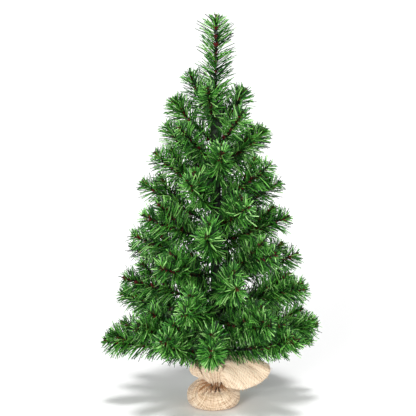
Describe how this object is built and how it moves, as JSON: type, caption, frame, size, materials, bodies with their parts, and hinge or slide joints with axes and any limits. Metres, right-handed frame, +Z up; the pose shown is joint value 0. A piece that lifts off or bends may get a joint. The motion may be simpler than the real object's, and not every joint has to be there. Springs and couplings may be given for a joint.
{
  "type": "artificial tabletop tree",
  "caption": "Tabletop tree of PVC film needles on bendable wire branches round a taped steel pole, standing in a cement weight gathered up in burlap.",
  "frame": {"origin": "on the trunk's axis, at the flat underside of the burlap base", "axes": "+Z up the trunk, -Y towards the front, +X to the right"},
  "size_m": [0.3232, 0.3055, 0.61],
  "materials": {
    "needle_film": "satin",
    "trunk_tape": "matte",
    "pole_steel": "satin",
    "cement": "matte",
    "cup_plastic": "satin",
    "burlap": "matte",
    "twine": "matte"
  },
  "bodies": {
    "trunk": {"trunk_pole": "pole_steel", "trunk_tape": "trunk_tape", "cement_weight": "cement", "casting_cup": "cup_plastic", "burlap_wrap": "burlap", "neck_tie": "twine"},
    "branch_01_body": {"branch_01": "needle_film"},
    "branch_02_body": {"branch_02": "needle_film"},
    "branch_03_body": {"branch_03": "needle_film"},
    "branch_04_body": {"branch_04": "needle_film"},
    "branch_05_body": {"branch_05": "needle_film"},
    "branch_06_body": {"branch_06": "needle_film"},
    "branch_07_body": {"branch_07": "needle_film"},
    "branch_08_body": {"branch_08": "needle_film"},
    "branch_09_body": {"branch_09": "needle_film"},
    "branch_10_body": {"branch_10": "needle_film"},
    "branch_11_body": {"branch_11": "needle_film"},
    "branch_12_body": {"branch_12": "needle_film"},
    "branch_13_body": {"branch_13": "needle_film"},
    "branch_14_body": {"branch_14": "needle_film"},
    "branch_15_body": {"branch_15": "needle_film"},
    "branch_16_body": {"branch_16": "needle_film"},
    "branch_17_body": {"branch_17": "needle_film"},
    "branch_18_body": {"branch_18": "needle_film"},
    "branch_19_body": {"branch_19": "needle_film"},
    "branch_20_body": {"branch_20": "needle_film"},
    "branch_21_body": {"branch_21": "needle_film"},
    "branch_22_body": {"branch_22": "needle_film"},
    "branch_23_body": {"branch_23": "needle_film"},
    "branch_24_body": {"branch_24": "needle_film"},
    "branch_25_body": {"branch_25": "needle_film"},
    "branch_26_body": {"branch_26": "needle_film"},
    "branch_27_body": {"branch_27": "needle_film"},
    "branch_28_body": {"branch_28": "needle_film"},
    "branch_29_body": {"branch_29": "needle_film"},
    "branch_30_body": {"branch_30": "needle_film"},
    "branch_31_body": {"branch_31": "needle_film"},
    "branch_32_body": {"branch_32": "needle_film"},
    "branch_33_body": {"branch_33": "needle_film"},
    "branch_34_body": {"branch_34": "needle_film"},
    "branch_35_body": {"branch_35": "needle_film"},
    "branch_36_body": {"branch_36": "needle_film"},
    "branch_37_body": {"branch_37": "needle_film"},
    "branch_38_body": {"branch_38": "needle_film"},
    "branch_39_body": {"branch_39": "needle_film"},
    "branch_40_body": {"branch_40": "needle_film"},
    "branch_41_body": {"branch_41": "needle_film"},
    "branch_42_body": {"branch_42": "needle_film"},
    "branch_43_body": {"branch_43": "needle_film"},
    "branch_44_body": {"branch_44": "needle_film"},
    "branch_45_body": {"branch_45": "needle_film"},
    "branch_46_body": {"branch_46": "needle_film"},
    "branch_47_body": {"branch_47": "needle_film"},
    "branch_48_body": {"branch_48": "needle_film"},
    "branch_49_body": {"branch_49": "needle_film"},
    "branch_50_body": {"branch_50": "needle_film"},
    "leader_body": {"leader_tip": "needle_film"}
  },
  "joints": [
    {"name": "branch_01_bend", "type": "hinge", "parent": "trunk", "child": "branch_01_body", "pos_m": [0.00673, 0.00193, 0.07701], "axis": [0.2756, -0.9613, 0], "range_deg": [-12, 57]},
    {"name": "branch_02_bend", "type": "hinge", "parent": "trunk", "child": "branch_02_body", "pos_m": [-0.00345, -0.00609, 0.08034], "axis": [-0.8703, 0.4925, 0], "range_deg": [-12, 40]},
    {"name": "branch_03_bend", "type": "hinge", "parent": "trunk", "child": "branch_03_body", "pos_m": [-0.00133, 0.00687, 0.08684], "axis": [0.9817, 0.1905, 0], "range_deg": [-12, 56]},
    {"name": "branch_04_bend", "type": "hinge", "parent": "trunk", "child": "branch_04_body", "pos_m": [0.00563, -0.00417, 0.09206], "axis": [-0.5952, -0.8036, 0], "range_deg": [-12, 48]},
    {"name": "branch_05_bend", "type": "hinge", "parent": "trunk", "child": "branch_05_body", "pos_m": [-0.00696, -0.00073, 0.09546], "axis": [-0.104, 0.9946, 0], "range_deg": [-12, 57]},
    {"name": "branch_06_bend", "type": "hinge", "parent": "trunk", "child": "branch_06_body", "pos_m": [0.00464, 0.00524, 0.10307], "axis": [0.7485, -0.6631, 0], "range_deg": [-12, 55]},
    {"name": "branch_07_bend", "type": "hinge", "parent": "trunk", "child": "branch_07_body", "pos_m": [-0.00037, -0.00699, 0.1081], "axis": [-0.9986, 0.0532, 0], "range_deg": [-12, 54]},
    {"name": "branch_08_bend", "type": "hinge", "parent": "trunk", "child": "branch_08_body", "pos_m": [-0.00532, 0.00455, 0.11178], "axis": [0.6502, 0.7598, 0], "range_deg": [-12, 54]},
    {"name": "branch_09_bend", "type": "hinge", "parent": "trunk", "child": "branch_09_body", "pos_m": [0.00698, -0.0005, 0.11887], "axis": [-0.0709, -0.9975, 0], "range_deg": [-20, 56]},
    {"name": "branch_10_bend", "type": "hinge", "parent": "trunk", "child": "branch_10_body", "pos_m": [-0.00548, -0.00435, 0.12469], "axis": [-0.6215, 0.7834, 0], "range_deg": [-20, 53]},
    {"name": "branch_11_bend", "type": "hinge", "parent": "trunk", "child": "branch_11_body", "pos_m": [0.0011, 0.00691, 0.13166], "axis": [0.9875, -0.1578, 0], "range_deg": [-20, 52]},
    {"name": "branch_12_bend", "type": "hinge", "parent": "trunk", "child": "branch_12_body", "pos_m": [0.00385, -0.00584, 0.13733], "axis": [-0.8347, -0.5507, 0], "range_deg": [-20, 52]},
    {"name": "branch_13_bend", "type": "hinge", "parent": "trunk", "child": "branch_13_body", "pos_m": [-0.00679, 0.0017, 0.14226], "axis": [0.2435, 0.9699, 0], "range_deg": [-20, 52]},
    {"name": "branch_14_bend", "type": "hinge", "parent": "trunk", "child": "branch_14_body", "pos_m": [0.00616, 0.00333, 0.15053], "axis": [0.4756, -0.8797, 0], "range_deg": [-20, 51]},
    {"name": "branch_15_bend", "type": "hinge", "parent": "trunk", "child": "branch_15_body", "pos_m": [-0.00229, -0.00661, 0.15554], "axis": [-0.9449, 0.3274, 0], "range_deg": [-20, 51]},
    {"name": "branch_16_bend", "type": "hinge", "parent": "trunk", "child": "branch_16_body", "pos_m": [-0.00278, 0.00643, 0.16279], "axis": [0.9179, 0.3968, 0], "range_deg": [-20, 50]},
    {"name": "branch_17_bend", "type": "hinge", "parent": "trunk", "child": "branch_17_body", "pos_m": [0.00644, -0.00275, 0.16739], "axis": [-0.3928, -0.9196, 0], "range_deg": [-20, 47]},
    {"name": "branch_18_bend", "type": "hinge", "parent": "trunk", "child": "branch_18_body", "pos_m": [-0.00664, -0.00221, 0.1733], "axis": [-0.3151, 0.9491, 0], "range_deg": [-20, 45]},
    {"name": "branch_19_bend", "type": "hinge", "parent": "trunk", "child": "branch_19_body", "pos_m": [0.00341, 0.00611, 0.18354], "axis": [0.8734, -0.487, 0], "range_deg": [-20, 48]},
    {"name": "branch_20_bend", "type": "hinge", "parent": "trunk", "child": "branch_20_body", "pos_m": [0.00162, -0.00681, 0.18941], "axis": [-0.973, -0.2309, 0], "range_deg": [-20, 48]},
    {"name": "branch_21_bend", "type": "hinge", "parent": "trunk", "child": "branch_21_body", "pos_m": [-0.00605, 0.00352, 0.19151], "axis": [0.5024, 0.8646, 0], "range_deg": [-20, 44]},
    {"name": "branch_22_bend", "type": "hinge", "parent": "trunk", "child": "branch_22_body", "pos_m": [0.00693, 0.00101, 0.20481], "axis": [0.1449, -0.9894, 0], "range_deg": [-20, 47]},
    {"name": "branch_23_bend", "type": "hinge", "parent": "trunk", "child": "branch_23_body", "pos_m": [-0.00442, -0.00543, 0.2102], "axis": [-0.7752, 0.6317, 0], "range_deg": [-20, 46]},
    {"name": "branch_24_bend", "type": "hinge", "parent": "trunk", "child": "branch_24_body", "pos_m": [-0.0004, 0.00699, 0.21892], "axis": [0.9983, 0.0578, 0], "range_deg": [-20, 45]},
    {"name": "branch_25_bend", "type": "hinge", "parent": "trunk", "child": "branch_25_body", "pos_m": [0.00502, -0.00488, 0.22618], "axis": [-0.6971, -0.717, 0], "range_deg": [-20, 45]},
    {"name": "branch_26_bend", "type": "hinge", "parent": "trunk", "child": "branch_26_body", "pos_m": [-0.007, 0.00021, 0.23189], "axis": [0.0297, 0.9996, 0], "range_deg": [-20, 44]},
    {"name": "branch_27_bend", "type": "hinge", "parent": "trunk", "child": "branch_27_body", "pos_m": [0.0053, 0.00457, 0.24219], "axis": [0.6533, -0.7571, 0], "range_deg": [-20, 43]},
    {"name": "branch_28_bend", "type": "hinge", "parent": "trunk", "child": "branch_28_body", "pos_m": [-0.00082, -0.00695, 0.24813], "axis": [-0.9931, 0.1169, 0], "range_deg": [-20, 37]},
    {"name": "branch_29_bend", "type": "hinge", "parent": "trunk", "child": "branch_29_body", "pos_m": [-0.00457, 0.0053, 0.2522], "axis": [0.7573, 0.6531, 0], "range_deg": [-20, 41]},
    {"name": "branch_30_bend", "type": "hinge", "parent": "trunk", "child": "branch_30_body", "pos_m": [0.00685, -0.00142, 0.26565], "axis": [-0.2033, -0.9791, 0], "range_deg": [-20, 41]},
    {"name": "branch_31_bend", "type": "hinge", "parent": "trunk", "child": "branch_31_body", "pos_m": [-0.00602, -0.00358, 0.26702], "axis": [-0.5114, 0.8593, 0], "range_deg": [-20, 40]},
    {"name": "branch_32_bend", "type": "hinge", "parent": "trunk", "child": "branch_32_body", "pos_m": [0.00202, 0.0067, 0.2819], "axis": [0.9576, -0.2882, 0], "range_deg": [-20, 39]},
    {"name": "branch_33_bend", "type": "hinge", "parent": "trunk", "child": "branch_33_body", "pos_m": [0.00304, -0.00631, 0.28918], "axis": [-0.9007, -0.4344, 0], "range_deg": [-20, 38]},
    {"name": "branch_34_bend", "type": "hinge", "parent": "trunk", "child": "branch_34_body", "pos_m": [-0.00667, 0.00214, 0.29012], "axis": [0.3051, 0.9523, 0], "range_deg": [-20, 34]},
    {"name": "branch_35_bend", "type": "hinge", "parent": "trunk", "child": "branch_35_body", "pos_m": [0.00655, 0.00248, 0.30628], "axis": [0.3539, -0.9353, 0], "range_deg": [-20, 38]},
    {"name": "branch_36_bend", "type": "hinge", "parent": "trunk", "child": "branch_36_body", "pos_m": [-0.00315, -0.00625, 0.31388], "axis": [-0.8927, 0.4506, 0], "range_deg": [-20, 28]},
    {"name": "branch_37_bend", "type": "hinge", "parent": "trunk", "child": "branch_37_body", "pos_m": [-0.0019, 0.00674, 0.32435], "axis": [0.9626, 0.2708, 0], "range_deg": [-20, 33]},
    {"name": "branch_38_bend", "type": "hinge", "parent": "trunk", "child": "branch_38_body", "pos_m": [0.00595, -0.00369, 0.32942], "axis": [-0.5269, -0.8499, 0], "range_deg": [-20, 27]},
    {"name": "branch_39_bend", "type": "hinge", "parent": "trunk", "child": "branch_39_body", "pos_m": [-0.00688, -0.0013, 0.33642], "axis": [-0.1856, 0.9826, 0], "range_deg": [-20, 24]},
    {"name": "branch_40_bend", "type": "hinge", "parent": "trunk", "child": "branch_40_body", "pos_m": [0.00419, 0.0056, 0.35297], "axis": [0.8006, -0.5992, 0], "range_deg": [-20, 28]},
    {"name": "branch_41_bend", "type": "hinge", "parent": "trunk", "child": "branch_41_body", "pos_m": [0.00069, -0.00697, 0.36044], "axis": [-0.9951, -0.099, 0], "range_deg": [-20, 27]},
    {"name": "branch_42_bend", "type": "hinge", "parent": "trunk", "child": "branch_42_body", "pos_m": [-0.00595, 0.00369, 0.35713], "axis": [0.5274, 0.8496, 0], "range_deg": [-20, 19]},
    {"name": "branch_43_bend", "type": "hinge", "parent": "trunk", "child": "branch_43_body", "pos_m": [0.007, 0.00008, 0.38264], "axis": [0.0116, -0.9999, 0], "range_deg": [-20, 23]},
    {"name": "branch_44_bend", "type": "hinge", "parent": "trunk", "child": "branch_44_body", "pos_m": [-0.00511, -0.00479, 0.39005], "axis": [-0.684, 0.7295, 0], "range_deg": [-20, 29]},
    {"name": "branch_45_bend", "type": "hinge", "parent": "trunk", "child": "branch_45_body", "pos_m": [0.00053, 0.00698, 0.40338], "axis": [0.9971, -0.0759, 0], "range_deg": [-20, 27]},
    {"name": "branch_46_bend", "type": "hinge", "parent": "trunk", "child": "branch_46_body", "pos_m": [0.00432, -0.00551, 0.41397], "axis": [-0.7865, -0.6176, 0], "range_deg": [-20, 25]},
    {"name": "branch_47_bend", "type": "hinge", "parent": "trunk", "child": "branch_47_body", "pos_m": [-0.00691, 0.00114, 0.41828], "axis": [0.1628, 0.9867, 0], "range_deg": [-20, 23]},
    {"name": "branch_48_bend", "type": "hinge", "parent": "trunk", "child": "branch_48_body", "pos_m": [0.00586, 0.00383, 0.4401], "axis": [0.5465, -0.8375, 0], "range_deg": [-20, 20]},
    {"name": "branch_49_bend", "type": "hinge", "parent": "trunk", "child": "branch_49_body", "pos_m": [-0.00174, -0.00678, 0.45096], "axis": [-0.9687, 0.2484, 0], "range_deg": [-20, 18]},
    {"name": "branch_50_bend", "type": "hinge", "parent": "trunk", "child": "branch_50_body", "pos_m": [-0.00521, 0.00467, 0.44996], "axis": [0.6677, 0.7444, 0], "range_deg": [-20, 15]},
    {"name": "leader_bend", "type": "hinge", "parent": "trunk", "child": "leader_body", "pos_m": [0, 0, 0.47], "axis": [0, 1, 0], "range_deg": [-25, 25]}
  ]
}
